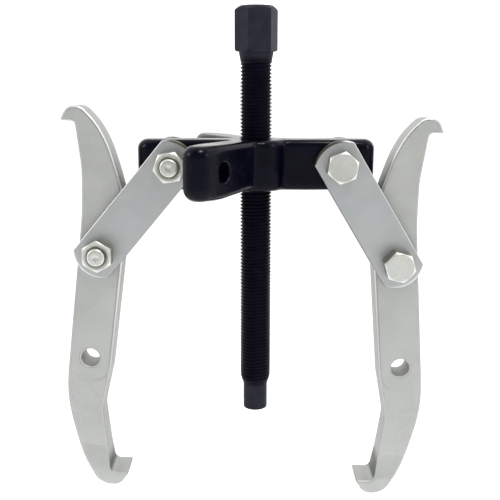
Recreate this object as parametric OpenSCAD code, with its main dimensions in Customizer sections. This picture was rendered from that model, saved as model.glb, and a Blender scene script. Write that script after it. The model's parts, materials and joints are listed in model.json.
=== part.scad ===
// Two-jaw gear puller: a four-armed yoke, a forcing screw with a live centre
// point, and two reversible jaws, each hung from the yoke by a pair of straps.
// The origin is the centre of the end face of the screw's dog point, +Z is up
// along the screw, and the two jaws stand to the left (-X) and the right (+X).

/* [Screw] */
// Major diameter of the forcing screw's thread
screw_d = 15.875; // [12:0.125:16]
// Length of the threaded stretch, with its end chamfer
thread_len = 169.7; // [140:0.1:220]
// Length of the chamfer at the thread's lower end
thread_chamfer = 4.6; // [1:0.1:6]
// Diameter of the plain dog point
dog_d = 12.7; // [10:0.1:13]
// Length of the dog point
dog_len = 13.8; // [8:0.1:20]
// Diameter of the conical neck where it meets the hex head
neck_d = 17.5; // [16:0.1:19]
// Length of the neck
neck_len = 4.2; // [2:0.1:8]
// Hex head, across flats
drive_af = 19.05; // [17:0.05:24]
// Hex head, height
drive_h = 21.8; // [12:0.1:30]
// How far the hex head is turned about the screw
drive_turn = 10; // [0:1:59]
// Height of the yoke's middle above the end of the dog point
yoke_z = 132; // [110:1:150]

/* [Centre point] */
// Diameter of the centre point's shank
point_d = 5; // [4:0.1:6]
// Depth of its bore in the screw
point_bore = 12; // [8:0.5:12]
// How far the cone stands out of the screw
point_out = 1; // [0.5:0.1:2]
// Cone angle of the point
point_angle = 60; // [45:1:90]

/* [Yoke] */
// Height of the yoke
yoke_h = 25.4; // [20:0.1:32]
// Thickness of each arm
arm_t = 15.4; // [12:0.1:15.4]
// Distance from the screw's axis to the end of each arm
arm_reach = 60; // [56:0.5:66]
// Corner radius of the arm ends, seen from the side
arm_corner = 7; // [3:0.5:10]
// Distance from the screw's axis to each arm's bolt hole
pivot_r = 42.4; // [40:0.1:46]
// Outside radius of the hub
hub_r = 16; // [14:0.5:20]
// Radial gap between the screw and the yoke
screw_gap = 0.05; // [0.02:0.01:0.1]

/* [Straps] */
// Distance between a strap's two holes
strap_pitch = 57.8; // [50:0.05:62]
// Width of a strap
strap_w = 22.6; // [18:0.1:25]
// Thickness of a strap
strap_t = 5; // [3:0.1:6]
// Radius of a strap's rounded ends
strap_end_r = 14.5; // [12.6:0.1:16]
// How far the middle of each end's curve lies inside its hole's middle
strap_end_in = 2.1; // [0:0.1:4]
// Gap between a strap and the yoke or jaw beside it
side_gap = 0.3; // [0.2:0.05:0.5]

/* [Jaws] */
// Thickness of a jaw
jaw_t = 15.4; // [12:0.1:15.4]
// How much thicker each side of a jaw gets at its large hook
hook_flare = 2.4; // [0:0.1:3]
// How far below its bolt hole a jaw starts to flare
flare_top = 107; // [100:0.5:112]
// How far below its bolt hole the flare ends
flare_foot = 120; // [114:0.5:124]
// Distance from a jaw's bolt hole to its spare hole
jaw_pitch = 57.9; // [40:0.05:62]
// Swing of the left straps away from the screw
left_swing = 39.8; // [36:0.1:50]
// Swing of the right straps away from the screw
right_swing = 30.9; // [30:0.1:50]
// Outward lean of the left jaw's lower end
left_lean = 7.7; // [4:0.1:9]
// Outward lean of the right jaw's lower end
right_lean = 4.6; // [3:0.1:9]

/* [Fasteners] */
// Diameter of the bolts
bolt_d = 9.525; // [8:0.025:9.6]
// Radial gap between a bolt and the parts that it passes through
bolt_gap = 0.08; // [0.02:0.01:0.1]
// Bolt heads and nuts, across flats
hex_af = 14.3; // [13:0.1:16]
// Height of a bolt head
head_h = 8.8; // [5:0.1:9]
// Height of a nut
nut_h = 8.3; // [7:0.1:10]
// How far a bolt stands out of its nut
bolt_out = 2.5; // [1:0.1:5]
// Radial gap between a nut and its bolt's thread
nut_gap = 0.05; // [0.02:0.01:0.1]

/* [Hidden] */
$fn = 96;
// a little extra, so that cutters pass right through
cut = 1;

SPARE_ARMS = [120, 240];
JAW_ARMS = [0, 180];
screw_r = screw_d / 2;
bolt_r = bolt_d / 2;
hole_r = bolt_r + bolt_gap;
point_r = point_d / 2;
thread_top = dog_len + thread_len;
head_z = thread_top + neck_len;
grip_half = max(arm_t, jaw_t) / 2 + side_gap;
stack_half = grip_half + strap_t;

hex_top_r = hex_af / 2 - 0.35;
hex_slope = 30;
drive_top_r = drive_af / 2 - 1.2;
drive_foot_r = drive_af / 2 + 0.5;
drive_slope = 37;

// How far each hex is turned about its bolt
left_upper_turn = 9;
left_lower_turn = 30;
right_upper_turn = 20;
right_lower_turn = 46;

// A hexagon's half width across its corners
function hex_r(af) = af / 2 / cos(30);

// The jaw's outline, as [u, v, corner radius]: u outward from the screw and
// v up along the jaw, both from the bolt hole. It starts at the small top
// hook's tip and runs down the outer side, round the large bottom hook and up
// the inner side.
JAW_CORNERS = [
    [26.8, 63.7, 0.6], [19.6, 64.3, 2.1], [13.8, 40.5, 60], [11.7, 18, 100],
    [10.9, -81, 80], [-0.3, -111.6, 60], [-12.6, -128.5, 10.5], [-23.2, -127.6, 6],
    [-27.3, -119.8, 0.6], [-17.4, -120.9, 3.5], [-9.2, -86, 20], [-11.4, -63, 40],
    [-11.4, 22, 55], [-5.2, 40, 120], [1.8, 55.2, 60], [8.6, 65.2, 40],
    [17.2, 72.1, 6.5], [24.4, 70.9, 6]
];
// More than a jaw's reach from its bolt hole, up or down
jaw_span = 140;
// Degrees of arc between two points of a rounded corner
arc_step = 7;

function flat(p) = [p[0], p[1]];
function unit(v) = v / norm(v);
function turn_of(a, b) = acos(max(-1, min(1, a * b)));
function side_of(a, b) = a[0] * b[1] - a[1] * b[0] > 0 ? 1 : -1;

// The points that round the corner q, between its neighbours p and r
function corner_arc(p, q, r) =
    let(
        a = unit(flat(q) - flat(p)),
        b = unit(flat(r) - flat(q)),
        turn = turn_of(a, b),
        side = side_of(a, b),
        rad = q[2],
        start = flat(q) - a * rad * tan(turn / 2),
        mid = start + rad * side * [-a[1], a[0]],
        first = atan2(start[1] - mid[1], start[0] - mid[0]),
        steps = max(2, ceil(turn / arc_step))
    )
    [for (i = [0 : steps])
        mid + rad * [cos(first + side * turn * i / steps), sin(first + side * turn * i / steps)]];

function rounded(corners) =
    let(n = len(corners))
    [for (i = [0 : n - 1])
        each corner_arc(corners[(i + n - 1) % n], corners[i], corners[(i + 1) % n])];

// The half of the puller on one side of the screw, turned into place: side is
// 1 for the right and -1 for the left
module on_side(side) {
    rotate([0, 0, side > 0 ? 0 : 180])
        children();
}

// Strap space: origin at the yoke's bolt, the strap hanging down along -Z
module at_straps(side, swing) {
    on_side(side)
        translate([pivot_r, 0, yoke_z])
            rotate([0, -swing, 0])
                children();
}

// Jaw space: origin at the jaw's bolt, +X outward and +Z up along the jaw
module at_jaw(side, swing, lean) {
    at_straps(side, swing)
        translate([0, 0, -strap_pitch])
            rotate([0, swing - lean, 0])
                children();
}

// The upper bolt's axis, without the strap's swing, so that a hex's turn is
// its true one
module at_upper(side, swing) {
    at_straps(side, swing)
        rotate([0, swing, 0])
            children();
}

// The lower bolt's axis, likewise
module at_lower(side, swing) {
    at_jaw(side, swing, 0)
        children();
}

// A bar along Y, centred on the middle plane
module along_y(r, half) {
    rotate([90, 0, 0])
        cylinder(r = r, h = 2 * half, center = true);
}

// A hexagonal prism standing on the XY plane, its corners turned down to a
// cone above top_r and, unless foot_r lies outside it, to another below foot_r
module hex_prism(af, h, turn, slope, top_r, foot_r) {
    // wider than the hexagon, so that its edges cross the cones cleanly
    wide = hex_r(af) + 1;
    foot = foot_r < wide ? foot_r : wide;
    intersection() {
        rotate([0, 0, turn])
            cylinder(r = hex_r(af), h = h, $fn = 6);
        rotate_extrude()
            polygon([
                [0, 0], [foot, 0], [wide, (wide - foot) * tan(slope)],
                [wide, h - (wide - top_r) * tan(slope)], [top_r, h], [0, h]
            ]);
    }
}

// The same along -Y, from the straps' face outwards
module hex_on_straps(h, turn, foot_r) {
    translate([0, -stack_half, 0])
        rotate([90, 0, 0])
            hex_prism(hex_af, h, turn, hex_slope, hex_top_r, foot_r);
}

// A bolt with its head at the front (-Y) of the straps
module bolt(turn) {
    tail = stack_half + nut_h + bolt_out;
    chamfer = 1.2;
    hex_on_straps(head_h, turn, hex_af);
    translate([0, -stack_half, 0])
        rotate([-90, 0, 0])
            rotate_extrude()
                polygon([
                    [0, 0], [bolt_r, 0], [bolt_r, stack_half + tail - chamfer],
                    [bolt_r - chamfer, stack_half + tail], [0, stack_half + tail]
                ]);
}

// A nut at the rear (+Y) of the straps
module nut(turn) {
    countersink = 1;
    rotate([0, 0, 180])
        difference() {
            hex_on_straps(nut_h, turn, hex_top_r);
            along_y(bolt_r + nut_gap, stack_half + nut_h + cut);
            translate([0, -stack_half - nut_h, 0])
                rotate([-90, 0, 0])
                    cylinder(
                        r1 = bolt_r + nut_gap + countersink, r2 = bolt_r + nut_gap,
                        h = countersink
                    );
        }
}

// One flat strap, its inner face at grip_half, at the front (side -1) or rear
module strap(face) {
    translate([0, face * (grip_half + strap_t / 2), 0])
        difference() {
            rotate([90, 0, 0])
                linear_extrude(strap_t, center = true)
                    intersection() {
                        translate([-strap_w / 2, -strap_pitch - strap_end_r])
                            square([strap_w, strap_pitch + 2 * strap_end_r]);
                        union() {
                            for (z = [-strap_end_in, strap_end_in - strap_pitch])
                                translate([0, z])
                                    circle(r = strap_end_r);
                            translate([-strap_w / 2, -strap_pitch])
                                square([strap_w, strap_pitch]);
                        }
                    }
            for (z = [0, -strap_pitch])
                translate([0, 0, z])
                    along_y(hole_r, strap_t);
        }
}

// A jaw's section across its width, as an outline in Y and Z
module jaw_section() {
    side = jaw_t / 2;
    wide = side + hook_flare;
    polygon([
        [-side, jaw_span], [-side, -flare_top], [-wide, -flare_foot], [-wide, -jaw_span],
        [wide, -jaw_span], [wide, -flare_foot], [side, -flare_top], [side, jaw_span]
    ]);
}

// One double-ended jaw with its bolt hole and spare hole
module jaw() {
    difference() {
        intersection() {
            rotate([90, 0, 0])
                linear_extrude(jaw_t + 2 * hook_flare + 2 * cut, center = true)
                    polygon(rounded(JAW_CORNERS));
            rotate([90, 0, 90])
                linear_extrude(jaw_span, center = true)
                    jaw_section();
        }
        for (z = [0, -jaw_pitch])
            translate([0, 0, z])
                along_y(hole_r, jaw_t);
    }
}

// One arm of the yoke along +X, with rounded corners at its end
module arm() {
    inset = arm_reach - arm_corner;
    rise = yoke_h / 2 - arm_corner;
    rotate([90, 0, 0])
        linear_extrude(arm_t, center = true)
            union() {
                translate([0, -yoke_h / 2])
                    square([inset, yoke_h]);
                translate([0, -rise])
                    square([arm_reach, 2 * rise]);
                for (y = [-rise, rise])
                    translate([inset, y])
                        circle(r = arm_corner);
            }
}

module yoke() {
    color("#17181b")
        translate([0, 0, yoke_z])
            difference() {
                union() {
                    cylinder(r = hub_r, h = yoke_h, center = true);
                    for (a = concat(JAW_ARMS, SPARE_ARMS))
                        rotate([0, 0, a])
                            arm();
                }
                cylinder(r = screw_r + screw_gap, h = yoke_h + 2 * cut, center = true);
                for (a = concat(JAW_ARMS, SPARE_ARMS))
                    rotate([0, 0, a])
                        translate([pivot_r, 0, 0])
                            along_y(hole_r, arm_t);
            }
}

module forcing_screw() {
    color("#1c1d20")
        difference() {
            union() {
                rotate_extrude()
                    polygon([
                        [0, 0], [dog_d / 2, 0], [dog_d / 2, dog_len],
                        [screw_r, dog_len + thread_chamfer],
                        [screw_r, thread_top], [neck_d / 2, head_z], [0, head_z]
                    ]);
                translate([0, 0, head_z])
                    hex_prism(drive_af, drive_h, drive_turn, drive_slope, drive_top_r, drive_foot_r);
            }
            translate([0, 0, -cut])
                cylinder(r = point_r + screw_gap, h = point_bore + cut);
        }
}

module centre_point() {
    cone_h = point_r / tan(point_angle / 2);
    shank_top = point_bore - 0.3;
    color("#8b8f93")
        rotate_extrude()
            polygon([
                [0, -point_out], [point_r, cone_h - point_out], [point_r, shank_top - 0.5],
                [point_r - 0.5, shank_top], [0, shank_top]
            ]);
}

module left_front_strap() {
    color("#b4b9bd") at_straps(-1, left_swing) strap(1);
}

module left_rear_strap() {
    color("#b4b9bd") at_straps(-1, left_swing) strap(-1);
}

module right_front_strap() {
    color("#b4b9bd") at_straps(1, right_swing) strap(-1);
}

module right_rear_strap() {
    color("#b4b9bd") at_straps(1, right_swing) strap(1);
}

module left_jaw() {
    color("#b2b4b0") at_jaw(-1, left_swing, left_lean) jaw();
}

module right_jaw() {
    color("#b2b4b0") at_jaw(1, right_swing, right_lean) jaw();
}

module left_upper_bolt() {
    color("#c2c6ba") at_upper(-1, left_swing) bolt(left_upper_turn);
}

module left_lower_bolt() {
    color("#c2c6ba") at_lower(-1, left_swing) bolt(left_lower_turn);
}

module right_upper_bolt() {
    color("#c2c6ba") at_upper(1, right_swing) bolt(right_upper_turn);
}

module right_lower_bolt() {
    color("#c2c6ba") at_lower(1, right_swing) bolt(right_lower_turn);
}

module left_upper_nut() {
    color("#bcc0b2") at_upper(-1, left_swing) nut(left_upper_turn);
}

module left_lower_nut() {
    color("#bcc0b2") at_lower(-1, left_swing) nut(left_lower_turn);
}

module right_upper_nut() {
    color("#bcc0b2") at_upper(1, right_swing) nut(right_upper_turn);
}

module right_lower_nut() {
    color("#bcc0b2") at_lower(1, right_swing) nut(right_lower_turn);
}

yoke();
forcing_screw();
centre_point();
left_front_strap();
left_rear_strap();
right_front_strap();
right_rear_strap();
left_jaw();
right_jaw();
left_upper_bolt();
left_lower_bolt();
right_upper_bolt();
right_lower_bolt();
left_upper_nut();
left_lower_nut();
right_upper_nut();
right_lower_nut();
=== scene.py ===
"""Gear puller: the finished surfaces, materials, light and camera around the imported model."""
import json
import math

import bmesh
import bpy
import numpy as np
from mathutils import Matrix, Vector


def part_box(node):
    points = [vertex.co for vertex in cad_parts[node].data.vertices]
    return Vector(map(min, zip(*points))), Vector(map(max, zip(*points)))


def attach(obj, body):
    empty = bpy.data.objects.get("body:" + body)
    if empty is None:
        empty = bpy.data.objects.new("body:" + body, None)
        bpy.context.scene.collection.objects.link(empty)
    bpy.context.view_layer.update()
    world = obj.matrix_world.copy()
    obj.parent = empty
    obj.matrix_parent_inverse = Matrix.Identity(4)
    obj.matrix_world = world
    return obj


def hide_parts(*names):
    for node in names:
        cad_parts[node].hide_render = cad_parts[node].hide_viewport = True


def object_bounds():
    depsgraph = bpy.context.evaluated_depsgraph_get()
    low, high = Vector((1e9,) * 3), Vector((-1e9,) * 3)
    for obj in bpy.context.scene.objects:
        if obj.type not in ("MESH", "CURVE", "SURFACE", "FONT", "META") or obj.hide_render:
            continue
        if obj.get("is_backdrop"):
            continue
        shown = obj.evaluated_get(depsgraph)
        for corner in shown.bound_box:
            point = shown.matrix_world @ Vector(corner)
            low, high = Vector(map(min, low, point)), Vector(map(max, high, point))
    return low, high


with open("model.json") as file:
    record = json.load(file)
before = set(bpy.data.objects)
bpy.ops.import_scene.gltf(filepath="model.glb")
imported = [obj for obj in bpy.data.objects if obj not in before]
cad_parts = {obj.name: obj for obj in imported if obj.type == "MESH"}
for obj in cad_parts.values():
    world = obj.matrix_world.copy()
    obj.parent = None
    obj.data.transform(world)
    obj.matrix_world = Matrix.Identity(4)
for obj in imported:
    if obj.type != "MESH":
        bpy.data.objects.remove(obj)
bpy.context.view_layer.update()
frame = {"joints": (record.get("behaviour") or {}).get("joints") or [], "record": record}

# ---------------------------------------------------------------- sizes, in millimetres
MM = 0.001
RECORD = frame["record"]
JOINTS = {joint["name"]: joint for joint in frame["joints"]}
MOUNTS = {mount["name"]: mount for mount in RECORD["mounts"]}
BODY_OF = {node: body for body, nodes in RECORD["behaviour"]["bodies"].items() for node in nodes}
SLOT_OF = {part["node"]: part["material_slot"] for part in RECORD["subparts"]}
SIDE = {"left": -1, "right": 1}


def low(node):
    """Lowest corner of a CAD node."""
    return np.array(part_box(node)[0]) / MM


def high(node):
    """Highest corner of a CAD node."""
    return np.array(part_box(node)[1]) / MM


def middle(entry):
    """Place of a joint or mount of the record."""
    return Vector(entry["pos_m"]) / MM


HOLE_R = MOUNTS["left_jaw_spare_bore"]["dims"]["r_mm"]
YOKE_Z = (low("yoke")[2] + high("yoke")[2]) / 2
YOKE_HALF_H = (high("yoke")[2] - low("yoke")[2]) / 2
PIVOT_R = middle(JOINTS["right_strap_swing"]).x
ARM_REACH = high("yoke")[0]
ARM_HALF_T = MOUNTS["spare_arm_240_bore"]["dims"]["length_mm"] / 2
ARM_ANGLES = [0, 120, 180, 240]
HUB_R = 16
# The spacing of the grid that the yoke and the jaws are meshed on
GRID_STEP = 0.8
# How far an arm narrows on each side towards its end, and a spare arm's underside rises at its root
ARM_NARROWING = 1.0
ARM_RISE = 1.6
# An arm's corners seen from above, and the fillet between arm and hub
ARM_CORNER = 6.4
ARM_FILLET = 2.4
# The height of the waves in the casting's surface
CASTING_WAVES = 0.05

DOG_R = MOUNTS["screw_end"]["dims"]["r_mm"]
DOG_LEN = MOUNTS["screw_end"]["dims"]["length_mm"]
SCREW_R = 15.875 / 2
SCREW_TOP = high("forcing_screw")[2]
SCREW_PITCH = 25.4 / 14
THREAD_DEPTH = 0.45 * SCREW_PITCH
# Half the width of the thread's crest, and the width of its flank, as shares of the pitch
CREST_HALF = 0.0625
FLANK = 0.3125
THREAD_TOP = 183.5
HEAD_FOOT = 187.7
DRIVE_AF = 19.05
DRIVE_TURN = 10
NECK_R = 8.75
DOG_ROUND = 0.9
POINT_R = 2.5
POINT_BORE = 12
# The tangent of half the point's angle
POINT_SLOPE = math.tan(math.radians(30))

STACK_HALF = -low("right_front_strap")[1]
STRAP_T = high("right_front_strap")[1] - low("right_front_strap")[1]
STRAP_HALF_W = 11.3
STRAP_END_R = 14.5
STRAP_END_IN = 2.1
STRAP_END_POINTS = 31
# How far the rolled edge of a sheared strap reaches down its side, and in on its face at an end's
# corners and, beyond that, at its middle
ROLL_DOWN = 0.7
ROLL_IN = 0.5
ROLL_IN_MORE = 1.5

BOLT_R = 9.525 / 2
BOLT_PITCH = 25.4 / 16
BOLT_END = -low("left_upper_bolt")[1]
HEAD_TOP = -low("right_upper_bolt")[1]
NUT_TOP = -low("left_upper_nut")[1]
HEX_AF = 14.3
HEX_TOP_R = HEX_AF / 2 - 0.35
HEX_SLOPE = 30
# The bolts' thread: its pitch, depth, and lower and upper end, with the tip at the bottom
BOLT_THREAD = (BOLT_PITCH, 0.32, -BOLT_END + 1.1, -NUT_TOP + 1.6)
# How far each hex is turned about its bolt, in degrees
HEX_TURN = {"left_upper": 9, "left_lower": 30, "right_upper": 20, "right_lower": 46}

JAW_HALF_T = MOUNTS["left_jaw_spare_bore"]["dims"]["length_mm"] / 2
JAW_FLARE = high("left_jaw")[1] - JAW_HALF_T
# The heights over which a jaw thickens towards its large hook
FLARE_TOP = -107
FLARE_FOOT = -120
# How far a jaw's faces are sunk below the flat round its spare hole
HOOK_RELIEF = 0.35
# A jaw's outline, as (u, v, corner radius): u outward from the screw and v up along the jaw, from its bolt
JAW_CORNERS = [
    (26.8, 63.7, 0.6), (19.6, 64.3, 2.1), (13.8, 40.5, 60), (11.7, 18, 100),
    (10.9, -81, 80), (-0.3, -111.6, 60), (-12.6, -128.5, 10.5), (-23.2, -127.6, 6),
    (-27.3, -119.8, 0.6), (-17.4, -120.9, 3.5), (-9.2, -86, 20), (-11.4, -63, 40),
    (-11.4, 22, 55), (-5.2, 40, 120), (1.8, 55.2, 60), (8.6, 65.2, 40),
    (17.2, 72.1, 6.5), (24.4, 70.9, 6),
]


# ---------------------------------------------------------------- places
def hanging(top, below, side):
    """Puts u outward, v from below up to top, and the origin at top."""
    v = (top - below).normalized()
    across = Vector((0, side, 0))
    u = across.cross(v)
    axes = Matrix((u, across, v)).transposed().to_4x4()
    return Matrix.Translation(top) @ axes


def facing(centre, front):
    """Puts Z along a bolt, out of the front or the rear, and Y upward."""
    x, z = (Vector((1, 0, 0)), Vector((0, -1, 0))) if front else (Vector((-1, 0, 0)), Vector((0, 1, 0)))
    axes = Matrix((x, Vector((0, 0, 1)), z)).transposed().to_4x4()
    return Matrix.Translation(centre) @ axes


def pivots(side):
    """The upper bolt, the lower bolt and the jaw's spare hole of one side."""
    return (
        middle(JOINTS[f"{side}_strap_swing"]),
        middle(JOINTS[f"{side}_jaw_swing"]),
        middle(MOUNTS[f"{side}_jaw_spare_bore"]),
    )


# ---------------------------------------------------------------- meshes
def add_piece(node, points, faces, place=None, sharp=None):
    """Makes the finished mesh that stands for one CAD node. sharp is the angle, in degrees, above
    which an edge stays crisp."""
    mesh = bpy.data.meshes.new(node + "_finished")
    mesh.from_pydata([tuple(p) for p in points], [], [tuple(int(i) for i in f) for f in faces])
    mesh.transform(Matrix.Scale(MM, 4) @ (place or Matrix.Identity(4)))
    tidy = bmesh.new()
    tidy.from_mesh(mesh)
    bmesh.ops.remove_doubles(tidy, verts=tidy.verts, dist=1e-7)
    bmesh.ops.dissolve_degenerate(tidy, edges=tidy.edges, dist=1e-7)
    bmesh.ops.recalc_face_normals(tidy, faces=tidy.faces)
    tidy.to_mesh(mesh)
    tidy.free()
    mesh.shade_smooth()
    piece = bpy.data.objects.new(node + "_finished", mesh)
    bpy.context.scene.collection.objects.link(piece)
    if sharp:
        mesh.set_sharp_from_angle(angle=math.radians(sharp))
        weighted = piece.modifiers.new("weighted_normals", "WEIGHTED_NORMAL")
        weighted.keep_sharp = True
    piece.data.materials.append(MATERIALS[SLOT_OF[node]])
    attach(piece, BODY_OF[node])
    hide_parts(node)
    return piece


def skin(field, lowest, highest, step):
    """Points and faces of a field's zero surface, by surface nets. field(x, y, z) is a distance,
    negative inside."""
    axes = [np.arange(a - 1.5 * step, b + 2.5 * step, step) for a, b in zip(lowest, highest)]
    x, y, z = axes[0][:, None, None], axes[1][None, :, None], axes[2][None, None, :]
    values = np.broadcast_to(field(x, y, z), [len(a) for a in axes])
    cells = [n - 1 for n in values.shape]
    total, count = np.zeros(cells + [3]), np.zeros(cells)
    crossings = []
    for axis in range(3):
        along = np.moveaxis(values, axis, 0)
        a, b = along[:-1], along[1:]
        crossed = (a < 0) != (b < 0)
        share = np.where(crossed, a / np.where(crossed, a - b, 1), 0)
        others = [k for k in range(3) if k != axis]
        sums, counts = np.moveaxis(total, axis, 0), np.moveaxis(count, axis, 0)
        for p in (0, 1):
            for q in (0, 1):
                window = (slice(None), slice(p, p + cells[others[0]]), slice(q, q + cells[others[1]]))
                used = crossed[window]
                counts += used
                sums[..., axis] += share[window]
                sums[..., others[0]] += used * p
                sums[..., others[1]] += used * q
        crossings.append((crossed, a))
    met = count > 0
    index = np.full(cells, -1)
    index[met] = np.arange(met.sum())
    start = np.array([a[0] for a in axes])
    points = start + (np.argwhere(met) + total[met] / count[met][:, None]) * step
    faces = []
    for axis, (crossed, a) in enumerate(crossings):
        i, j, k = (np.argwhere(crossed[:, 1:-1, 1:-1]) + [0, 1, 1]).T
        near = np.moveaxis(index, axis, 0)
        quads = np.stack([near[i, j - 1, k - 1], near[i, j, k - 1], near[i, j, k], near[i, j - 1, k]], 1)
        back = (a[i, j, k] > 0) != (axis == 1)
        quads[back] = quads[back][:, ::-1]
        faces.append(quads)
    return settled(points, field), np.concatenate(faces)


def settled(points, field, rounds=2, probe=0.02):
    """Moves points along the field's slope onto its zero surface."""
    for _ in range(rounds):
        here = field(*points.T)
        slope = np.stack([
            (field(*(points + probe * unit).T) - here) / probe for unit in np.eye(3)
        ], 1)
        points = points - slope * (here / np.maximum((slope ** 2).sum(1), 0.25))[:, None]
    return points


def smooth_step(t):
    """0 up to where t is 0, 1 from where it is 1, and a smooth rise between."""
    t = np.clip(t, 0, 1)
    return t * t * (3 - 2 * t)


def blended(a, b, size):
    """Union of two distances with a fillet."""
    near = np.maximum(size - np.abs(a - b), 0) / size
    return np.minimum(a, b) - near * near * size / 4


def crossed_with(a, b, radius):
    """Intersection of two distances with a rounded edge."""
    a, b = a + radius, b + radius
    return np.minimum(np.maximum(a, b), 0) + np.hypot(np.maximum(a, 0), np.maximum(b, 0)) - radius


def rounded(corners, step=3):
    """The points of an outline with its corners turned into arcs, every step degrees."""
    points = []
    for number, (x, y, radius) in enumerate(corners):
        here = np.array([x, y])
        before = np.array(corners[number - 1][:2])
        after = np.array(corners[(number + 1) % len(corners)][:2])
        a = (here - before) / np.linalg.norm(here - before)
        b = (after - here) / np.linalg.norm(after - here)
        turn = math.acos(max(-1, min(1, a @ b)))
        side = 1 if a[0] * b[1] - a[1] * b[0] > 0 else -1
        start = here - a * radius * math.tan(turn / 2)
        centre = start + radius * side * np.array([-a[1], a[0]])
        first = math.atan2(*(start - centre)[::-1])
        count = max(2, math.ceil(math.degrees(turn) / step))
        for angle in first + side * turn * np.arange(count + 1) / count:
            points.append(centre + radius * np.array([math.cos(angle), math.sin(angle)]))
    return np.array(points)


def outline_distance(x, y, outline):
    """Signed distance to a closed outline, negative inside."""
    nearest, inside = np.inf, False
    for (ax, ay), (bx, by) in zip(outline, np.roll(outline, -1, 0)):
        ex, ey, px, py = bx - ax, by - ay, x - ax, y - ay
        along = np.clip((px * ex + py * ey) / (ex * ex + ey * ey), 0, 1)
        nearest = np.minimum(nearest, (px - ex * along) ** 2 + (py - ey * along) ** 2)
        inside = inside ^ (((ay > y) != (by > y)) & (px < ex * py / (ey or 1)))
    return np.sqrt(nearest) * np.where(inside, -1, 1)


# ---------------------------------------------------------------- turned pieces
# How far from a hexagon's corner, on either side, its columns of points stand, in degrees
CORNER_SPREAD = [0, 0.5, 1.1, 1.8, 2.8, 4.5, 7.5, 12, 18, 24]


def ring_angles(hexagon):
    """Angles round a turned piece, close together at a hexagon's corners."""
    if hexagon is None:
        return np.radians(np.arange(0, 360, 5))
    turn = hexagon[1]
    spread = sorted({s for d in CORNER_SPREAD for s in (d, -d)} | {30})
    return np.radians(sorted({(turn + 60 * k + s) % 360 for k in range(6) for s in spread}))


def limited(radius, angles, hexagon, crispness=70):
    """Radii cut by a hexagonal prism with slightly rounded corners."""
    flat, turn = hexagon[0] / 2, math.radians(hexagon[1] + 30)
    reach = sum(np.maximum(np.cos(angles - turn - k * math.pi / 3), 0) ** crispness for k in range(6))
    prism = flat / reach ** (1 / crispness)
    return (np.maximum(radius, 1e-6) ** -crispness + prism ** -crispness) ** (-1 / crispness)


def turned(profile, hexagon=None, thread=None, closed=False):
    """Points and faces of a piece turned about Z. profile is (radius, height) from one end to the
    other. hexagon is (across flats, turn). thread is (pitch, depth, lowest, highest)."""
    angles = ring_angles(hexagon)
    points, rings = [], []
    for radius, height in profile:
        if radius == 0:
            rings.append([len(points)] * len(angles))
            points.append((0, 0, height))
            continue
        radii = np.full(len(angles), float(radius))
        if hexagon:
            radii = limited(radii, angles, hexagon)
        if thread and thread[2] <= height <= thread[3]:
            phase = (height / thread[0] - angles / math.tau) % 1
            radii = radii - thread[1] * (1 - np.abs(2 * phase - 1)) * (radius > BOLT_R - 0.01)
        rings.append(range(len(points), len(points) + len(angles)))
        points.extend(zip(radii * np.cos(angles), radii * np.sin(angles), [height] * len(angles)))
    faces = []
    pairs = list(zip(rings, rings[1:])) + ([(rings[-1], rings[0])] if closed else [])
    for lower, upper in pairs:
        for k in range(len(angles)):
            n = (k + 1) % len(angles)
            face = list(dict.fromkeys([lower[k], lower[n], upper[n], upper[k]]))
            if len(face) > 2:
                faces.append(face)
    return points, faces


def arc(centre, radius, first, last, count=5):
    """Profile points on an arc, in degrees."""
    return [
        (centre[0] + radius * math.cos(a), centre[1] + radius * math.sin(a))
        for a in np.radians(np.linspace(first, last, count))
    ]


def between(start, end, count):
    """Evenly spaced profile points, both ends with them."""
    return [tuple(p) for p in np.linspace(start, end, count)]


def hex_cone(af, top, foot_z, slope, top_r, count=14):
    """Profile points from below a hex's chamfer up to its top face."""
    wide = af / 2 / math.cos(math.radians(30)) + 0.4
    edge = top - (wide - top_r) * math.tan(math.radians(slope))
    return [(wide, foot_z), (wide, edge - 0.15)] + between((wide, edge), (top_r + 0.1, top - 0.05), count)


def bolt_seat(name):
    """The middle of a bolt, and whether its head is at the front."""
    side, level = name.split("_")
    upper, lower, _ = pivots(side)
    return (upper if level == "upper" else lower), SIDE[side] > 0


def bolt_profile():
    """A bolt's half section, from the middle of its slightly dished head to the middle of its tip."""
    dish, crest, round_r = HEAD_TOP - 0.06, BOLT_R - 0.05, 1.5
    head = [(0, dish), (HEX_TOP_R * 0.5, dish), (HEX_TOP_R - 1.3, HEAD_TOP - 0.05)]
    head += [(HEX_TOP_R - 0.3, HEAD_TOP), (HEX_TOP_R, HEAD_TOP - 0.02)]
    head += hex_cone(HEX_AF, HEAD_TOP, STACK_HALF + 0.5, HEX_SLOPE, HEX_TOP_R)[::-1]
    head += [(HEX_AF / 2 + 0.9, STACK_HALF + 0.2), (HEX_AF / 2 - 0.1, STACK_HALF), (BOLT_R, STACK_HALF)]
    tail = between((crest, -NUT_TOP + 1.5), (crest, 1.1 - BOLT_END), 24)
    dome = arc((BOLT_R - 1.7, round_r - BOLT_END), round_r, 0, -62, 7)
    tip = [(1.6, 0.06 - BOLT_END), (1.2, 0.3 - BOLT_END), (0, 0.35 - BOLT_END)]
    return head + tail + dome + tip


def bolt_pieces():
    """All four bolts, in each of which the head stands on one side and the nut on the other."""
    for name, turn in HEX_TURN.items():
        centre, head_in_front = bolt_seat(name)
        points, faces = turned(bolt_profile(), (HEX_AF, turn), BOLT_THREAD)
        add_piece(name + "_bolt", points, faces, facing(centre, head_in_front), sharp=40)


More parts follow.
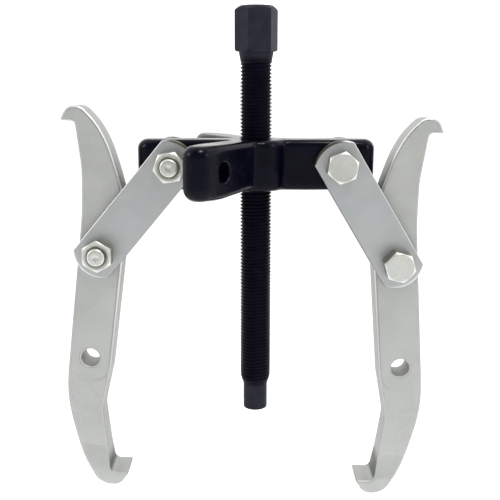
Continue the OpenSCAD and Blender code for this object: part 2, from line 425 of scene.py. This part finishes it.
def nut_profile():
    """A nut's half section, a closed loop: chamfered and countersunk alike at its top and its foot."""
    bore, top, foot = BOLT_R + 0.05, NUT_TOP, STACK_HALF
    profile = [(bore, foot + 0.5), (bore, top - 0.65)]
    profile += between((bore + 0.1, top - 0.55), (bore + 0.95, top - 0.06), 5)
    profile += [(bore + 1.1, top), (HEX_TOP_R - 0.15, top)]
    profile += hex_cone(HEX_AF, top, (top + foot) / 2, HEX_SLOPE, HEX_TOP_R)[::-1]
    mirror = [(r, top + foot - z) for r, z in profile[2:]][::-1]
    return profile + mirror[1:]


def nut_pieces():
    """The four nuts, each on the side away from its bolt's head."""
    for name, turn in HEX_TURN.items():
        centre, head_in_front = bolt_seat(name)
        points, faces = turned(nut_profile(), (HEX_AF, turn), closed=True)
        add_piece(name + "_nut", points, faces, facing(centre, not head_in_front), sharp=40)


# ---------------------------------------------------------------- the screw and its point
# Where a turn of the thread has its rows of points, as shares of the pitch from the crest's middle
THREAD_ROWS = [-CREST_HALF, CREST_HALF, 0.22, CREST_HALF + FLANK, 0.5, 0.625, 0.78]


def thread_radius(phase):
    """Radius of the screw's truncated 60 degree thread; the crest is at phase 0."""
    off_crest = np.abs((phase + 0.5) % 1 - 0.5)
    return SCREW_R - THREAD_DEPTH * np.clip((off_crest - CREST_HALF) / FLANK, 0, 1)


def helical_thread(bottom, top, start_r, start_len, runout_len):
    """Points and faces of the screw's thread, from a cone at its lower end to a runout at its top."""
    angles = ring_angles(None)
    around, per_turn = len(angles), len(THREAD_ROWS)
    turns = math.ceil((top - bottom) / SCREW_PITCH) + 1
    rows = [(k + offset) * SCREW_PITCH for k in range(-1, turns) for offset in THREAD_ROWS]
    points, faces = [], []
    for row in rows:
        height = np.clip(bottom + row + SCREW_PITCH * angles / math.tau, bottom, top)
        cone = start_r + (height - bottom) * (SCREW_R - start_r) / start_len
        radius = np.minimum(thread_radius((height - bottom) / SCREW_PITCH - angles / math.tau), cone)
        radius += (SCREW_R - radius) * smooth_step((height - top + runout_len) / runout_len)
        points.extend(zip(radius * np.cos(angles), radius * np.sin(angles), height))
    for r in range(len(rows) - 1):
        for k in range(around):
            # one turn on, the next column starts a whole turn of rows higher
            lower = r * around + k + 1 if k + 1 < around else (r + per_turn) * around
            upper = lower + around
            if upper < len(points):
                faces.append((r * around + k, lower, upper, (r + 1) * around + k))
    return points, faces


def joined(*parts):
    """Several sets of points and faces as one."""
    points, faces = [], []
    for more_points, more_faces in parts:
        faces.extend([[i + len(points) for i in face] for face in more_faces])
        points.extend(more_points)
    return points, faces


def screw_piece():
    """The forcing screw: dog point, helical thread, neck and hex head."""
    bore, start_r = POINT_R + 0.05, DOG_R - 0.02
    dog = [(0, POINT_BORE), (bore, POINT_BORE), (bore, 0.25), (bore + 0.25, 0)]
    dog += arc((DOG_R - DOG_ROUND, DOG_ROUND), DOG_ROUND, -90, 0, 7)
    dog += [(DOG_R, DOG_LEN - 0.3), (start_r, DOG_LEN)]
    neck = between((SCREW_R, THREAD_TOP), (NECK_R, HEAD_FOOT), 4)
    neck += [(NECK_R, HEAD_FOOT + 1), (0, HEAD_FOOT + 1)]
    corner = DRIVE_AF / 2 / math.cos(math.radians(30)) + 0.4
    foot = between((DRIVE_AF / 2 + 0.35, HEAD_FOOT), (corner, HEAD_FOOT + 0.9), 6)
    sides = hex_cone(DRIVE_AF, SCREW_TOP, HEAD_FOOT + 1.1, 37, DRIVE_AF / 2 - 1.2, 18)
    crown = [(DRIVE_AF / 2 - 1.3, SCREW_TOP), (DRIVE_AF / 4, SCREW_TOP), (0, SCREW_TOP)]
    head = [(0, HEAD_FOOT), (NECK_R, HEAD_FOOT)] + foot + sides + crown
    points, faces = joined(
        turned(dog),
        helical_thread(DOG_LEN, THREAD_TOP, start_r, start_len=4.6, runout_len=2.4),
        turned(neck),
        turned(head, (DRIVE_AF, DRIVE_TURN)),
    )
    add_piece("forcing_screw", points, faces, sharp=35)


def point_piece():
    """The hard centre point in the screw's end."""
    bottom, top = low("centre_point")[2], high("centre_point")[2]
    cone = [(r, bottom + r / POINT_SLOPE) for r in (0.3, 0.4, POINT_R - 0.1, POINT_R)]
    profile = [(0, bottom), (0.12, bottom + 0.04), cone[0]] + between(cone[1], cone[2], 5)
    profile += [(POINT_R, cone[3][1] + 0.2), (POINT_R, top - 0.5), (POINT_R - 0.5, top), (0, top)]
    points, faces = turned(profile)
    add_piece("centre_point", points, faces, sharp=35)


# ---------------------------------------------------------------- the yoke
def yoke_field(x, y, z):
    """The casting: a hub and four arms with soft edges, crisp inner corners and round ends."""
    reach, up = np.hypot(x, y), z - YOKE_Z
    plan, rise = reach - HUB_R, 0
    for angle in np.radians(ARM_ANGLES):
        along = x * math.cos(angle) + y * math.sin(angle)
        across = np.abs(y * math.cos(angle) - x * math.sin(angle))
        half = ARM_HALF_T - ARM_NARROWING * smooth_step((along - 47) / 13)
        arm = crossed_with(along - ARM_REACH, across - half, ARM_CORNER)
        plan = blended(plan, np.maximum(arm, -along), ARM_FILLET)
        if abs(math.sin(angle)) > 0.5:
            # the underside of a spare arm lies higher at its root than the hub's
            on_arm = smooth_step((along - 14.5) / 2) * (across < ARM_HALF_T + 1)
            rise = rise + ARM_RISE * on_arm * (1 - smooth_step((along - 14) / 34))
    # rounder edges towards the ends of the arms, most of all underneath
    end = smooth_step((reach - 40) / 18)
    edge = 2.9 + end * np.where(up > 0, 2.1, 3.0)
    body = crossed_with(plan, np.maximum(up - YOKE_HALF_H, rise - up - YOKE_HALF_H), edge)
    # the slight waviness of a sand casting
    waves = np.sin(x / 4.1 + 1) * np.sin(y / 5.3) + np.sin(up / 3.1 + 2) * np.sin(x / 6.7 + y / 4.9)
    body = body + CASTING_WAVES * waves
    for angle in np.radians(ARM_ANGLES):
        along = x * math.cos(angle) + y * math.sin(angle)
        body = crossed_with(body, HOLE_R - np.hypot(along - PIVOT_R, up), 0.6)
    return crossed_with(body, SCREW_R + 0.05 - reach, 0.9)


def yoke_piece():
    """The cast yoke."""
    points, faces = skin(yoke_field, low("yoke"), high("yoke"), GRID_STEP)
    add_piece("yoke", points, faces)


# ---------------------------------------------------------------- the jaws
JAW_OUTLINE = rounded(JAW_CORNERS)


def jaw_field(u, y, v):
    """A forged jaw, thicker at its large hook. Its faces are sunk a little below the flat round
    its spare hole."""
    spare_v = -(pivots("left")[1] - pivots("left")[2]).length
    flare = JAW_FLARE * np.clip((FLARE_TOP - v) / (FLARE_TOP - FLARE_FOOT), 0, 1)
    round_spare = np.hypot(u, v - spare_v)
    relief = HOOK_RELIEF * smooth_step((round_spare - 12.4) / 0.9) * (v < spare_v)
    # softer along the inside, crisper towards the small hook's tip
    edge = 0.8 + 0.4 * smooth_step(0.5 - u / 8) - 0.3 * smooth_step((u - 14) / 8)
    body = crossed_with(outline_distance(u, v, JAW_OUTLINE), np.abs(y) - JAW_HALF_T - flare + relief, edge)
    for bore in (np.hypot(u, v), round_spare):
        body = crossed_with(body, HOLE_R - bore, 0.55)
    return body


def jaw_pieces():
    """Both jaws, which are alike and hang from the straps' lower bolts."""
    (u_low, v_low), (u_high, v_high) = JAW_OUTLINE.min(0), JAW_OUTLINE.max(0)
    wide = JAW_HALF_T + JAW_FLARE
    points, faces = skin(jaw_field, (u_low, -wide, v_low), (u_high, wide, v_high), GRID_STEP)
    for side in SIDE:
        _, bolt, spare = pivots(side)
        add_piece(side + "_jaw", points, faces, hanging(bolt, spare, SIDE[side]))


# ---------------------------------------------------------------- the straps
def shrunk(outline, inset):
    """An outline moved inward, its corners kept as corners."""
    ahead = np.roll(outline, -1, 0) - outline
    ahead /= np.linalg.norm(ahead, axis=1)[:, None]
    behind = np.roll(ahead, 1, 0)
    inward = np.stack([-ahead[:, 1] - behind[:, 1], ahead[:, 0] + behind[:, 0]], 1)
    return outline + inset * 2 * inward / (inward ** 2).sum(1)[:, None]


def filled(loops):
    """Triangles of a flat face between an outer loop and its holes, as indices into the loops' points."""
    flat = bmesh.new()
    edges = []
    for loop in loops:
        verts = [flat.verts.new(p) for p in loop]
        edges += [flat.edges.new((a, b)) for a, b in zip(verts, verts[1:] + verts[:1])]
    flat.verts.index_update()
    made = bmesh.ops.triangle_fill(flat, use_beauty=True, use_dissolve=False, edges=edges)["geom"]
    faces = [[v.index for v in f.verts] for f in made if isinstance(f, bmesh.types.BMFace)]
    flat.free()
    return faces


def plate(outline, holes, rim, hole_rim):
    """A flat bar with rounded edges and drilled holes. rim and hole_rim are (inset, y) from the
    front face to the rear one."""
    circle = np.radians(np.arange(0, 360, 6))
    stacks = [[(shrunk(outline, inset), y) for inset, y in rim]]
    for u, v, radius in holes:
        stacks.append([
            (np.stack([u + (radius + inset) * np.cos(circle), v + (radius + inset) * np.sin(circle)], 1), y)
            for inset, y in hole_rim
        ])
    points, faces, ends = [], [], {0: [], -1: []}
    for stack in stacks:
        first, size = len(points), len(stack[0][0])
        for ring, y in stack:
            points.extend((u, y, v) for u, v in ring)
        for level in range(len(stack) - 1):
            for k in range(size):
                a, b = first + level * size + k, first + level * size + (k + 1) % size
                faces.append((a, b, b + size, a + size))
        ends[0].append(range(first, first + size))
        ends[-1].append(range(len(points) - size, len(points)))
    for loops in ends.values():
        order = [i for loop in loops for i in loop]
        for face in filled([[points[i] for i in loop] for loop in loops]):
            faces.append([order[i] for i in face])
    return points, faces


def strap_outline(pitch):
    """Straight sides and two rounded ends, from the upper hole at (0, 0) to the lower one."""
    half = math.degrees(math.acos(STRAP_HALF_W / STRAP_END_R))
    upper = arc((0, -STRAP_END_IN), STRAP_END_R, half, 180 - half, STRAP_END_POINTS)
    lower = arc((0, STRAP_END_IN - pitch), STRAP_END_R, 180 + half, 360 - half, STRAP_END_POINTS)
    return np.array(upper + lower)


def strap_pieces():
    """The four straps, alike, each with its rolled edge on its outer face."""
    # sheared ends: the rounded edge is widest in the middle of each end's arc
    wide = ROLL_IN + ROLL_IN_MORE * np.sin(np.linspace(0, math.pi, STRAP_END_POINTS))
    wide = np.concatenate([wide, wide])[:, None]
    for side in SIDE:
        upper, lower, _ = pivots(side)
        pitch = (upper - lower).length
        place = hanging(upper, lower, SIDE[side])
        for face in ("front", "rear"):
            # in the strap's own frame, the outer face of the left side's front strap is at +Y
            out = (1 if face == "rear" else -1) * SIDE[side]
            inner, outer = out * (STACK_HALF - STRAP_T), out * STACK_HALF
            rim = [
                (wide * (1 - math.sin(a)), outer - out * ROLL_DOWN * (1 - math.cos(a)))
                for a in np.radians([0, 15, 30, 45, 60, 75, 90])
            ]
            rim += [(0, outer - out * 1.6), (0, inner + out * 0.6)]
            rim += [(0.08, inner + out * 0.2), (0.25, inner)]
            hole_rim = [(0.3, outer), (0, outer - out * 0.3), (0, inner + out * 0.3), (0.3, inner)]
            holes = [(0, 0, HOLE_R), (0, -pitch, HOLE_R)]
            points, faces = plate(strap_outline(pitch), holes, rim, hole_rim)
            add_piece(f"{side}_{face}_strap", points, faces, place, sharp=35)


# ---------------------------------------------------------------- materials
def add(tree, kind, settings=None, **inputs):
    """Adds a shader node, with plain settings, values and links."""
    made = tree.nodes.new(kind)
    for key, value in (settings or {}).items():
        setattr(made, key, value)
    for key, value in inputs.items():
        socket = made.inputs[key.replace("_", " ")]
        if isinstance(value, bpy.types.NodeSocket):
            tree.links.new(value, socket)
        else:
            socket.default_value = value
    return made


def ramp(tree, value, *stops):
    """A colour or grey ramp over value; each stop is (position, colour)."""
    made = tree.nodes.new("ShaderNodeValToRGB")
    tree.links.new(value, made.inputs["Fac"])
    elements = made.color_ramp.elements
    while len(elements) < len(stops):
        elements.new(0.5)
    for element, (position, colour) in zip(elements, stops):
        element.position = position
        element.color = (*colour, 1) if isinstance(colour, tuple) else (colour, colour, colour, 1)
    return made.outputs["Color"]


def noise(tree, where, size, detail=3, roughness=0.5, stretch=None):
    """Noise with features of a given size, in millimetres."""
    if stretch:
        where = add(tree, "ShaderNodeMapping", Vector=where, Scale=stretch).outputs["Vector"]
    return add(
        tree, "ShaderNodeTexNoise", Vector=where, Scale=1 / (size * MM), Detail=detail, Roughness=roughness
    ).outputs["Fac"]


def mixed(tree, share, first, second, blend="MIX"):
    return add(
        tree, "ShaderNodeMixRGB", {"blend_type": blend}, Fac=share, Color1=first, Color2=second
    ).outputs["Color"]


def finish(slot):
    """A new material for one slot: its node tree, object coordinates and main shader."""
    made = bpy.data.materials.new(slot)
    made.use_nodes = True
    tree = made.node_tree
    shader = next(n for n in tree.nodes if n.type == "BSDF_PRINCIPLED")
    where = tree.nodes.new("ShaderNodeTexCoord").outputs["Object"]
    return made, tree, where, shader


def set_sockets(shader, **values):
    for key, value in values.items():
        shader.inputs[key.replace("_", " ")].default_value = value


def link(tree, value, shader, name):
    tree.links.new(value, shader.inputs[name])


def product(tree, *values):
    """Several colours or greys multiplied together."""
    whole = values[0]
    for value in values[1:]:
        whole = mixed(tree, 1.0, whole, value, "MULTIPLY")
    return whole


def part_of(tree, vector, axis):
    """One coordinate of a vector."""
    return add(tree, "ShaderNodeSeparateXYZ", Vector=vector).outputs[axis]


def size_of(tree, value):
    """A value without its sign."""
    return add(tree, "ShaderNodeMath", {"operation": "ABSOLUTE"}, Value=value).outputs["Value"]


def share_of(tree, value, start, end):
    """0 where a value is start, changing evenly to 1 where it is end."""
    return add(tree, "ShaderNodeMapRange", Value=value, From_Min=start, From_Max=end).outputs["Result"]


def edges_of(tree, low_end, high_end):
    """1 on the sharp outer edges, 0 on flats."""
    sharp = tree.nodes.new("ShaderNodeNewGeometry").outputs["Pointiness"]
    return ramp(tree, sharp, (low_end, 0.0), (high_end, 1.0))


def bumped(tree, height, strength, distance, under=None):
    """A bump of the given depth in metres, over another one if there is one."""
    made = add(tree, "ShaderNodeBump", Strength=strength, Distance=distance, Height=height)
    if under:
        tree.links.new(under, made.inputs["Normal"])
    return made.outputs["Normal"]


def yoke_coat():
    """Gloss black coating over a casting, with fine pits and dust specks."""
    made, tree, where, shader = finish("yoke_coat")
    cloud = noise(tree, where, 9, 4)
    colour = ramp(tree, cloud, (0.3, (0.0003, 0.0003, 0.003)), (0.7, (0.001, 0.001, 0.006)))
    specks = ramp(tree, noise(tree, where, 0.7, 2, 0.6), (0.72, 0.0), (0.78, 1.0))
    colour = mixed(tree, specks, colour, (0.02, 0.02, 0.024, 1))
    colour = mixed(tree, edges_of(tree, 0.53, 0.6), colour, (0.012, 0.012, 0.016, 1))
    link(tree, colour, shader, "Base Color")
    link(tree, ramp(tree, cloud, (0.3, 0.2), (0.7, 0.3)), shader, "Roughness")
    waves = bumped(tree, noise(tree, where, 2.2, 3), 0.18, 0.0003)
    pits = ramp(tree, noise(tree, where, 1.1, 2), (0.26, 0.0), (0.34, 1.0))
    link(tree, bumped(tree, pits, 0.5, 0.0002, waves), shader, "Normal")
    set_sockets(shader, Specular_IOR_Level=0.09)
    return made


def black_oxide():
    """Satin black oxide: darkest on the oiled thread, greyer on the dog point and the head."""
    made, tree, where, shader = finish("black_oxide")
    cloud = noise(tree, where, 6, 5)
    thread = ramp(tree, cloud, (0.3, (0.0008, 0.0006, 0.004)), (0.7, (0.0022, 0.0018, 0.007)))
    plain = ramp(tree, cloud, (0.3, (0.010, 0.011, 0.018)), (0.7, (0.018, 0.019, 0.028)))
    height = share_of(tree, part_of(tree, where, "Z"), low("forcing_screw")[2] * MM, SCREW_TOP * MM)
    dog, head = DOG_LEN / SCREW_TOP, THREAD_TOP / SCREW_TOP
    bare = ramp(tree, height, (dog - 0.002, 1.0), (dog + 0.002, 0.0), (head, 0.0), (head + 0.01, 1.0))
    colour = mixed(tree, bare, thread, plain)
    specks = ramp(tree, noise(tree, where, 0.5, 2, 0.6), (0.68, 0.0), (0.76, 1.0))
    colour = mixed(tree, specks, colour, (0.035, 0.03, 0.042, 1))
    worn = mixed(tree, edges_of(tree, 0.53, 0.62), (0, 0, 0, 1), bare)
    colour = mixed(tree, worn, colour, (0.12, 0.12, 0.125, 1))
    link(tree, colour, shader, "Base Color")
    link(tree, ramp(tree, cloud, (0.3, 0.34), (0.7, 0.5)), shader, "Roughness")
    link(tree, bumped(tree, noise(tree, where, 0.35, 3, 0.6), 0.25, 0.0001), shader, "Normal")
    set_sockets(shader, Specular_IOR_Level=0.06)
    return made


def point_steel():
    """Ground tool steel with fine grinding lines round the point."""
    made, tree, where, shader = finish("point_steel")
    lines = noise(tree, where, 0.5, 4, 0.6, stretch=(0.2, 0.2, 6))
    link(tree, ramp(tree, lines, (0.3, (0.3, 0.3, 0.31)), (0.7, (0.45, 0.46, 0.47))), shader, "Base Color")
    link(tree, ramp(tree, lines, (0.3, 0.28), (0.7, 0.42)), shader, "Roughness")
    link(tree, bumped(tree, lines, 0.3, 0.00005), shader, "Normal")
    set_sockets(shader, Metallic=1.0)
    return made


# pale and dark are the tones of the broad clouds, and stain is laid over a share of them, stained.
# rough is the least and the most roughness. grain is the fine grain's size in millimetres, depth
# its bump and mottle how far it darkens. side multiplies the sides, a painted shade that stands for
# the dark things they reflect, up to where the surface is flat_from of the way round to facing
# front or rear. shine brightens a painted highlight along the edges: on the side away from the
# screw where lit is 1, on the side towards it for -1, and on both for 0.
ZINC = {
    "strap_zinc": {
        "pale": (0.405, 0.42, 0.427), "dark": (0.356, 0.369, 0.374), "stain": (0.41, 0.402, 0.352),
        "stained": 0.4, "rough": (0.42, 0.52), "grain": 0.5, "depth": 0.15, "mottle": 0.4,
        "side": (0.3, 0.27, 0.25), "flat_from": 0.98, "shine": 1.5, "lit": 1,
    },
    "jaw_zinc": {
        "pale": (0.465, 0.475, 0.462), "dark": (0.40, 0.41, 0.397), "stain": (0.485, 0.47, 0.41),
        "stained": 0.2, "rough": (0.5, 0.62), "grain": 0.45, "depth": 0.5, "mottle": 0.6,
        "side": (0.78, 0.78, 0.78), "flat_from": 0.9, "shine": 1.5, "lit": -1,
    },
    "fastener_zinc": {
        "pale": (0.53, 0.54, 0.515), "dark": (0.47, 0.48, 0.455), "stain": (0.50, 0.50, 0.40),
        "stained": 0.5, "rough": (0.34, 0.46), "grain": 0.5, "depth": 0.25, "mottle": 0.6,
        "side": (0.58, 0.58, 0.5), "flat_from": 0.9, "shine": 1.15, "lit": 0,
    },
}
WHITE = (1.0, 1.0, 1.0)
LINE_SHADE = (0.55, 0.55, 0.53)
# Heights, in metres, over which a jaw's painted highlights fade in, and over which the painted
# shadow above its large hook's ledge darkens
HIGHLIGHT_FADE = (-0.03, 0.09)
HOLLOW_SHADOW_LEVELS = (-0.024, -0.03)


def zinc(slot, pale, dark, stain, stained, rough, grain, depth, mottle, side, flat_from, shine, lit):
    """Zinc plate: soft clouds of tone, faint chromate colour, a fine grain, sides darkened by a painted
    shade, and a painted highlight along the rounded edges."""
    made, tree, where, shader = finish(slot)
    cloud = noise(tree, where, 11, 5)
    colour = ramp(tree, cloud, (0.3, dark), (0.7, pale))
    stains = ramp(tree, noise(tree, where, 7, 3), (0.45, 0.0), (0.75, stained))
    colour = mixed(tree, stains, colour, (*stain, 1))
    fine = noise(tree, where, grain, 4, 0.65)
    colour = mixed(tree, mottle, colour, ramp(tree, fine, (0.35, 0.7), (0.65, 1.0)), "MULTIPLY")
    normal = add(tree, "ShaderNodeTexCoord").outputs["Normal"]
    flatness = size_of(tree, part_of(tree, normal, "Y"))
    # painted shade: the sides are darker than the faces, standing for the dark things they reflect
    colour = product(tree, colour, ramp(tree, flatness, (0.3, side), (flat_from, WHITE)))
    # painted highlight: a pale band on the rounded edges, between side and face
    painted_highlight = ramp(tree, flatness, (0.35, 0.0), (0.6, 1.0), (0.88, 1.0), (0.985, 0.0))
    if lit:
        # positive where the surface faces away from the screw
        away = add(tree, "ShaderNodeVectorMath", {"operation": "MULTIPLY"})
        tree.links.new(where, away.inputs[0])
        tree.links.new(normal, away.inputs[1])
        away = part_of(tree, away.outputs["Vector"], "X")
        lit_side = share_of(tree, away, -0.02 * lit, 0.02 * lit)
        painted_highlight = product(tree, painted_highlight, lit_side)
    if lit < 0:
        colour, painted_highlight = jaw_shades(tree, where, normal, flatness, lit_side, colour, painted_highlight)
    # the painted highlight's colour, paler than the plate
    highlight_colour = tuple(min(1, shine * c) for c in pale)
    colour = mixed(tree, painted_highlight, colour, (*highlight_colour, 1))
    # painted dark reflection on the strap's rolled upper end
    if lit > 0:
        colour = with_crescent_reflection(tree, normal, flatness, away, colour)
    link(tree, colour, shader, "Base Color")
    link(tree, ramp(tree, cloud, (0.3, rough[0]), (0.7, rough[1])), shader, "Roughness")
    grained = bumped(tree, fine, depth, 0.0001)
    link(tree, bumped(tree, noise(tree, where, 5, 2), depth, 0.0004, grained), shader, "Normal")
    set_sockets(shader, Metallic=0.85)
    return made


def jaw_shades(tree, where, normal, flatness, inner, colour, painted_highlight):
    """The colour and painted highlight of a jaw, whose large hook is paler, with a painted shadow in the
    concave root above its ledge. inner is 1 on the side towards the screw, which also has a painted
    shade stripe where the flat ends."""
    level = part_of(tree, where, "Z")
    up_jaw = share_of(tree, level, *HIGHLIGHT_FADE)
    painted_highlight = product(tree, painted_highlight, ramp(tree, up_jaw, (0.0, 0.05), (0.2, 0.15), (0.6, 0.45), (1.0, 1.0)))
    colour = product(tree, colour, ramp(tree, up_jaw, (0.04, 1.1), (0.2, 1.0)))
    # painted shadow in the concave root above the large hook's ledge, on the sides facing the screw
    hollow_shadow = product(
        tree,
        share_of(tree, level, *HOLLOW_SHADOW_LEVELS),
        ramp(tree, flatness, (0.3, 1.0), (0.7, 0.0)),
        ramp(tree, size_of(tree, part_of(tree, normal, "Z")), (0.5, 1.0), (0.85, 0.0)),
        inner,
    )
    colour = mixed(tree, hollow_shadow, colour, (0.12, 0.125, 0.11, 1))
    # painted shade: a dark stripe on the side towards the screw, where the flat face ends
    flat_end_shade = ramp(tree, flatness, (0.9, WHITE), (0.95, LINE_SHADE), (0.99, LINE_SHADE), (1.0, WHITE))
    shown = product(tree, inner, ramp(tree, up_jaw, (0.25, 0.0), (0.6, 1.0)))
    return mixed(tree, shown, colour, product(tree, colour, flat_end_shade)), painted_highlight


def with_crescent_reflection(tree, normal, flatness, away, colour):
    """A strap's colour, with a painted dark reflection on the arc of its rolled upper end where that
    faces the screw.
    """
    rising = share_of(tree, part_of(tree, normal, "Z"), -1.0, 1.0)
    painted_dark_reflection = product(
        tree,
        share_of(tree, away, 0.002, -0.004),
        ramp(tree, rising, (0.42, 0.0), (0.54, 1.0)),
        ramp(tree, flatness, (0.97, 1.0), (0.995, 0.0)),
    )
    return mixed(tree, painted_dark_reflection, colour, (0.05, 0.043, 0.03, 1))


def make_materials():
    """The material of each slot."""
    made = {"yoke_coat": yoke_coat(), "black_oxide": black_oxide(), "point_steel": point_steel()}
    for slot, settings in ZINC.items():
        made[slot] = zinc(slot, **settings)
    return made


# ---------------------------------------------------------------- floor, light and camera
FLOOR_HALF = 80.0
FLOOR_DROP = 0.015


def floor_paper():
    """Plain pale paper, a little uneven in tone."""
    made, tree, where, shader = finish("floor_paper")
    tone = noise(tree, where, 300, 2)
    colour, darker = (0.95, 0.95, 0.95), (0.93575, 0.93575, 0.93575)
    link(tree, ramp(tree, tone, (0.3, colour), (0.7, darker)), shader, "Base Color")
    set_sockets(shader, Roughness=0.8, Specular_IOR_Level=0.1)
    return made


def studio_floor():
    """The floor, FLOOR_DROP below the tool, which hangs over it."""
    size, under = FLOOR_HALF, float(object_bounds()[0][2]) - FLOOR_DROP
    mesh = bpy.data.meshes.new("studio_floor")
    corners = [(-size, -size, under), (size, -size, under), (size, size, under), (-size, size, under)]
    mesh.from_pydata(corners, [], [(0, 1, 2, 3)])
    mesh.materials.append(floor_paper())
    floor = bpy.data.objects.new("studio_floor", mesh)
    bpy.context.scene.collection.objects.link(floor)
    floor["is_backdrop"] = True


# Each soft box's place and size in metres, and its power in watts
SOFT_BOXES = {
    "key": ((0.22, -0.35, 0.95), (0.2, 0.2), 6),
    "right_side": ((0.85, -0.35, 0.45), (0.14, 0.5), 2),
    "left_side": ((-0.95, -0.25, 0.6), (0.14, 0.3), 3.6),
}
LIGHT_AIM = (0, 0, 0.1)
SKY_STRENGTH = 1.6


def soft_box(name, place, size, power):
    """A rectangular area light aimed at the tool."""
    data = bpy.data.lights.new(name, "AREA")
    data.shape = "RECTANGLE"
    data.size, data.size_y = size
    data.energy = power
    lamp = bpy.data.objects.new(name, data)
    lamp.location = place
    lamp.rotation_euler = (Vector(LIGHT_AIM) - Vector(place)).to_track_quat("-Z", "Y").to_euler()
    bpy.context.scene.collection.objects.link(lamp)


def studio_light():
    """Three soft boxes, and a room that is white behind the tool and grey, unlit, in front of it."""
    for name, settings in SOFT_BOXES.items():
        soft_box(name, *settings)
    world = bpy.data.worlds.new("studio")
    world.use_nodes = True
    tree = world.node_tree
    background = next(n for n in tree.nodes if n.type == "BACKGROUND")
    direction = add(tree, "ShaderNodeTexCoord").outputs["Generated"]
    behind = share_of(tree, part_of(tree, direction, "Y"), -1.0, 1.0)
    room = ramp(tree, behind, (0.3, 0.31), (0.62, 1.0))
    seen = add(tree, "ShaderNodeLightPath").outputs["Is Camera Ray"]
    link(tree, mixed(tree, seen, room, (1, 1, 1, 1)), background, "Color")
    set_sockets(background, Strength=SKY_STRENGTH)
    bpy.context.scene.world = world
    bpy.context.scene.view_settings.view_transform = "Standard"


def photo_camera():
    """The viewpoint: 409 mm in front of the screw and 42 mm above the yoke, looking 12 degrees down."""
    azimuth, distance, rise = math.radians(-0.38), 408.7, 41.8
    pitch, heading, roll = math.radians(12.005), math.radians(0.03), math.radians(0.087)
    data = bpy.data.cameras.new("photo_camera")
    data.sensor_width, data.lens = 36, 57.52
    data.clip_start, data.clip_end = 0.01, 50
    camera = bpy.data.objects.new("photo_camera", data)
    place = Vector((distance * math.sin(azimuth), -distance * math.cos(azimuth), YOKE_Z + rise)) * MM
    turn = Matrix.Rotation(heading, 4, "Z") @ Matrix.Rotation(math.pi / 2 - pitch, 4, "X")
    camera.matrix_world = Matrix.Translation(place) @ turn @ Matrix.Rotation(roll, 4, "Z")
    bpy.context.scene.collection.objects.link(camera)
    bpy.context.scene.camera = camera


# ---------------------------------------------------------------- everything
MATERIALS = make_materials()
yoke_piece()
screw_piece()
point_piece()
strap_pieces()
jaw_pieces()
bolt_pieces()
nut_pieces()
studio_floor()
studio_light()
photo_camera()
